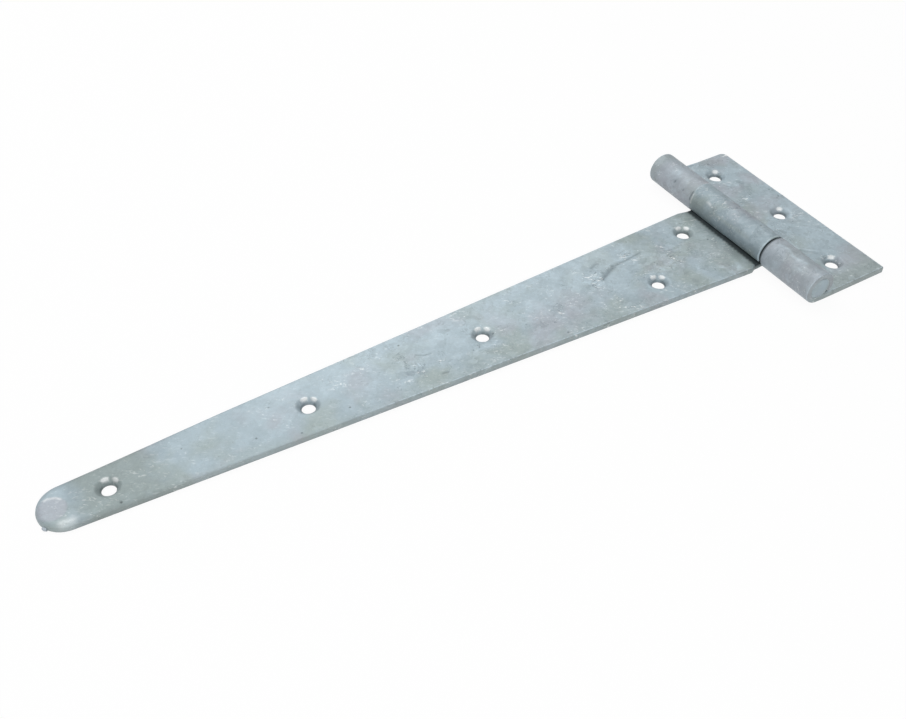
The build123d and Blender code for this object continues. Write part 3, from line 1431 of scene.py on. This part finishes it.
def speck_tree(material: bpy.types.Material) -> ShapeGraph:
    """Return the tree that scatters flattened specks of zinc over a leaf.

    Args:
        material: The specks' finish.

    Returns:
        The tree. It puts out the specks only.
    """
    graph = ShapeGraph("zinc_specks", ("Size", "Density", "Seed"))
    spray = graph.add("GeometryNodeInputNamedAttribute", None, {"Name": Mask.SPRAY.value})
    surface_normal = graph.add("GeometryNodeInputNormal").outputs[0]
    normal = graph.add("ShaderNodeSeparateXYZ", None, {0: surface_normal})
    up = graph.math("GREATER_THAN", graph.out(normal, 2), 0.3)
    inputs = {
        "Mesh": graph.out(graph.inputs, "Geometry"),
        "Density": graph.size("Density") * graph.out(spray) * up,
        "Seed": graph.size("Seed"),
    }
    points = graph.add("GeometryNodeDistributePointsOnFaces", None, inputs)
    size = graph.size("Size")
    speck = graph.add(
        "GeometryNodeMeshUVSphere", None, {"Segments": 9, "Rings": 5, "Radius": size}
    )
    low, high = (0.35, 0.30, 0.16), (1.7, 0.95, 0.40)
    inputs = {0: low, 1: high, "Seed": 5}
    scale = graph.add("FunctionNodeRandomValue", {"data_type": "FLOAT_VECTOR"}, inputs)
    inputs = {0: (0.0, 0.0, 0.0), 1: (0.0, 0.0, math.tau), "Seed": 6}
    turn = graph.add("FunctionNodeRandomValue", {"data_type": "FLOAT_VECTOR"}, inputs)
    inputs = {"Rotation": graph.out(points, "Rotation"), "Rotate By": graph.out(turn)}
    turned = graph.add("FunctionNodeRotateRotation", {"rotation_space": "LOCAL"}, inputs)
    inputs = {
        "Points": graph.out(points),
        "Instance": graph.out(speck),
        "Rotation": graph.out(turned),
        "Scale": graph.out(scale),
    }
    specks = graph.add("GeometryNodeInstanceOnPoints", None, inputs)
    graph.close(graph.out(specks), material)
    return graph


@dataclass
class ZincDeposits:
    """The runs and specks that the dip left on the two leaves."""

    strap: Leaf
    plate: Leaf
    strap_piece: bpy.types.Object
    plate_piece: bpy.types.Object
    finish: Galvanising
    speck_size: float = 0.27
    speck_density: float = 0.13

    def build(self) -> None:
        """Make every run and both sets of specks."""
        runs = run_tree(self.finish.material())
        for i, (name, leaf, run) in enumerate(self.runs()):
            source = link(name + "_path", run.edges(float(i)))
            piece = runs.run(source, name, {"Radius": run.radius * MM})
            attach(piece, leaf.body)
            LOG.info("%s: %d faces", piece.name, len(piece.data.polygons))
        specks = speck_tree(self.finish.material())
        dusted = ((3, self.strap, self.strap_piece), (8, self.plate, self.plate_piece))
        for seed, leaf, piece in dusted:
            self.scatter(specks, leaf, piece, seed)

    def scatter(
        self, specks: ShapeGraph, leaf: Leaf, piece: bpy.types.Object, seed: int
    ) -> None:
        """Scatter specks over one leaf.

        Args:
            specks: The tree.
            leaf: The leaf.
            piece: Its finished mesh.
            seed: The scatter's seed.
        """
        name = leaf.name + "_specks"
        sizes = {
            "Size": self.speck_size * MM,
            "Density": self.speck_density / MM**2,
            "Seed": float(seed),
        }
        made = specks.run(link(name + "_ground", piece.data.copy()), name, sizes)
        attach(made, leaf.body)
        LOG.info("%s: %d faces", made.name, len(made.data.polygons))

    def runs(self) -> list[tuple[str, Leaf, Run]]:
        """Return every run with its name and the leaf that it sits on."""
        plate, strap = self.plate, self.strap
        barrel, sheet = plate.barrel, plate.sheet
        near, far = plate.low.y, plate.high.y
        slot = plate.slot_width / 2
        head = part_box("hinge_pin")[1].x / MM
        strap_near = (strap.low.y + strap.high.y) / 2 - strap.knuckle / 2
        foot = barrel - 1.1
        return [
            ("pin_zinc_near", plate, Run(arc(head, barrel, near + 0.42, 62, -190), 0.34)),
            ("pin_zinc_far", plate, Run(arc(head, barrel, far - 0.42, 20, -300), 0.34)),
            (
                "curl_zinc_near",
                plate,
                Run(((foot, near + 0.6, sheet), (foot, -slot - 0.6, sheet)), 0.55, 0.5),
            ),
            (
                "curl_zinc_far",
                plate,
                Run(((foot, slot + 0.6, sheet), (foot, far - 0.6, sheet)), 0.60, 0.5),
            ),
            (
                "far_seam_zinc",
                plate,
                Run(arc(barrel - 0.13, barrel, slot - 0.01, 40, 138), 0.125, 0.1, 1.0),
            ),
            (
                "near_seam_lip",
                strap,
                Run(arc(barrel - 0.42, barrel, strap_near + 0.42, 66, 206), 0.38, 0.5, 3.0),
            ),
            (
                "end_lump",
                plate,
                Run(
                    ((15.0, far - 0.75, sheet - 0.35), (19.5, far - 0.8, sheet - 0.5)),
                    0.7, 1.2, 2.4,
                ),
            ),
            (
                "tip_drip",
                strap,
                Run(
                    ((-298.2, -5.6, 0.75), (-298.9, -5.0, 0.62), (-299.1, -4.3, 0.75)),
                    0.6, 0.2, 0.9,
                ),
            ),
        ]


# ----------------------------------------------------------------------------------- pin


@dataclass
class HingePin:
    """The pin, turned, with its ends riveted over."""

    finish: Galvanising
    name: str = "pin"
    node: str = "hinge_pin"
    body: str = "post_side"
    slot: str = "pin_zinc"
    shank: float = 4.22
    head_length: float = 1.2
    rounding: float = 0.25
    gap: float = 0.22
    around: int = 72

    def profile(self) -> list[tuple[float, float]]:
        """Return the half section as radius and place along the pin."""
        low, high = (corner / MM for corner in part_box(self.node))
        head = (high.x - low.x) / 2
        half = (high.y - low.y) / 2
        end = [(0.0, -half + 0.02), (head * 0.45, -half), (head - 1.1, -half + 0.03)]
        corner = [
            (
                head - self.gap - self.rounding * (1 - math.sin(a)),
                -half + 0.06 + self.rounding * (1 - math.cos(a)),
            )
            for a in (math.radians(angle) for angle in (0, 30, 60, 90))
        ]
        half_side = end + corner + [(self.shank, -half + self.head_length)]
        return half_side + [(r, -y) for r, y in reversed(half_side)]

    def build(self) -> bpy.types.Object:
        """Make the pin.

        Returns:
            The finished piece, riding on its body.
        """
        low, high = (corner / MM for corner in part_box(self.node))
        height = (low.z + high.z) / 2
        profile = self.profile()
        points = []
        for radius, y in profile[1:-1]:
            for i in range(self.around):
                angle = i * math.tau / self.around
                sample = (2 * math.cos(angle), 2 * math.sin(angle), y)
                swell = radius * (1 + 0.012 * perlin.noise(sample))
                swell = min(swell, radius + 0.03)
                points.append((swell * math.cos(angle), y, height + swell * math.sin(angle)))
        first = len(points)
        points += [(0.0, profile[0][1], height), (0.0, profile[-1][1], height)]
        faces = []
        rings = len(profile) - 2
        for ring in range(rings - 1):
            for i in range(self.around):
                j = (i + 1) % self.around
                a, b = ring * self.around, (ring + 1) * self.around
                faces.append((a + i, b + i, b + j, a + j))
        last = (rings - 1) * self.around
        for i in range(self.around):
            j = (i + 1) % self.around
            faces += [(i, j, first), (last + j, last + i, first + 1)]
        mesh = bpy.data.meshes.new(self.name)
        mesh.from_pydata([(x * MM, y * MM, z * MM) for x, y, z in points], [], faces)
        # Painted shade on the rim of each head, in the crack against the knuckle.
        wall = profile[5][0]
        soot = [0.8 if math.hypot(x, z - height) > wall - 0.02 else 0.0 for x, _, z in points]
        layer = mesh.attributes.new(Mask.SHADE_AND_DIRT.value, "FLOAT", "POINT")
        layer.data.foreach_set("value", soot)
        mesh.materials.append(self.finish.material())
        mesh.shade_smooth()
        piece = link(self.name, mesh)
        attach(piece, self.body)
        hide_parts(self.node)
        LOG.info("%s: %d faces", piece.name, len(mesh.polygons))
        return piece


# ---------------------------------------------------------------------------- the studio


@dataclass
class Studio:
    """A plain white table, a soft overhead light and the camera."""

    azimuth: float = -30.875
    elevation: float = 43.546
    distance: float = 419.46
    target: Colour = (-142.70, -3.72, 0.0)
    lens: float = 43.836
    floor_half: float = 3000.0
    fill: float = 0.464

    def build(self) -> None:
        """Make the floor, the light and the camera."""
        self.floor()
        self.world()
        self.lamps()
        self.camera()
        settings = bpy.context.scene.view_settings
        settings.view_transform = "Standard"

    def floor(self) -> None:
        """Make the white floor that the hinge lies on."""
        half = self.floor_half * MM
        corners = [(-half, -half, 0), (half, -half, 0), (half, half, 0), (-half, half, 0)]
        mesh = bpy.data.meshes.new("floor")
        mesh.from_pydata([(x, y, -0.00002) for x, y, _ in corners], [], [(0, 1, 2, 3)])
        mesh.materials.append(WhiteSweep().material())
        link("floor", mesh)

    def world(self) -> None:
        """Fill the room with even light that shows as white."""
        world = bpy.data.worlds.new("room")
        bpy.context.scene.world = world
        world.use_nodes = True
        world.node_tree.nodes.clear()
        graph = Graph(world.node_tree)
        strength = seen_by_camera(graph) * (1 - self.fill) + self.fill
        inputs = {"Color": (1.0, 1.0, 1.0, 1.0), "Strength": strength}
        glow = graph.add("ShaderNodeBackground", None, inputs)
        graph.add("ShaderNodeOutputWorld", None, {"Surface": graph.out(glow)})

    def lamps(self) -> None:
        """Hang the soft boxes."""
        self.soft_box("overhead", (-0.10, 0.55, 0.95), (-0.12, 0.0, 0.0), 1.1, 7.0)
        self.soft_box("front_fill", (-0.60, -0.75, 0.75), (-0.12, 0.0, 0.0), 0.7, 5.0)

    def soft_box(
        self, name: str, place: Colour, aim: Colour, size: float, power: float
    ) -> None:
        """Add one square area light.

        Args:
            name: The lamp's name.
            place: Where it hangs, in metres.
            aim: The point it faces, in metres.
            size: Its side, in metres.
            power: Its power, in watts.
        """
        data = bpy.data.lights.new(name, "AREA")
        data.size = size
        data.energy = power
        lamp = bpy.data.objects.new(name, data)
        bpy.context.scene.collection.objects.link(lamp)
        lamp.location = place
        toward = Vector(aim) - Vector(place)
        lamp.rotation_euler = toward.to_track_quat("-Z", "Y").to_euler()

    def camera(self) -> None:
        """Place the camera."""
        turn, lift = math.radians(self.azimuth), math.radians(self.elevation)
        back = Vector(
            (math.sin(turn) * math.cos(lift), -math.cos(turn) * math.cos(lift), math.sin(lift))
        )
        data = bpy.data.cameras.new("camera")
        data.lens = self.lens
        data.sensor_width = 36.0
        data.clip_start, data.clip_end = 0.01, 20.0
        camera = bpy.data.objects.new("camera", data)
        bpy.context.scene.collection.objects.link(camera)
        camera.location = (Vector(self.target) + back * self.distance) * MM
        camera.rotation_mode = "QUATERNION"
        camera.rotation_quaternion = (-back).to_track_quat("-Z", "Y")
        bpy.context.scene.camera = camera


def seen_by_camera(graph: Graph) -> Value:
    """Return 1 for a camera ray and 0 for any other."""
    return graph.out(graph.add("ShaderNodeLightPath"), "Is Camera Ray")


# ---------------------------------------------------------------------------------- main


def main() -> None:
    """Build every piece in order."""
    logging.basicConfig(level=logging.INFO, format="%(name)s: %(message)s")
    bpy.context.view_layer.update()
    strap = Strap(
        name="strap",
        node="strap_leaf",
        body="gate_side",
        slot="strap_zinc",
        side=Side.GATE,
        finish=Galvanising("strap_zinc", tone=0.94, seed=1.0),
        marks=STRAP_MARKS,
    )
    plate = CrossPlate(
        name="plate",
        node="cross_plate",
        body="post_side",
        slot="plate_zinc",
        side=Side.POST,
        finish=Galvanising("plate_zinc", tone=0.93, seed=4.0),
        marks=PLATE_MARKS,
    )
    strap_piece = strap.build()
    plate_piece = plate.build()
    HingePin(Galvanising("pin_zinc", tone=0.95, seed=9.0)).build()
    zinc = Galvanising("zinc_deposit", tone=1.08, seed=12.0)
    ZincDeposits(strap, plate, strap_piece, plate_piece, zinc).build()
    Studio().build()


if __name__ == "__main__":
    main()
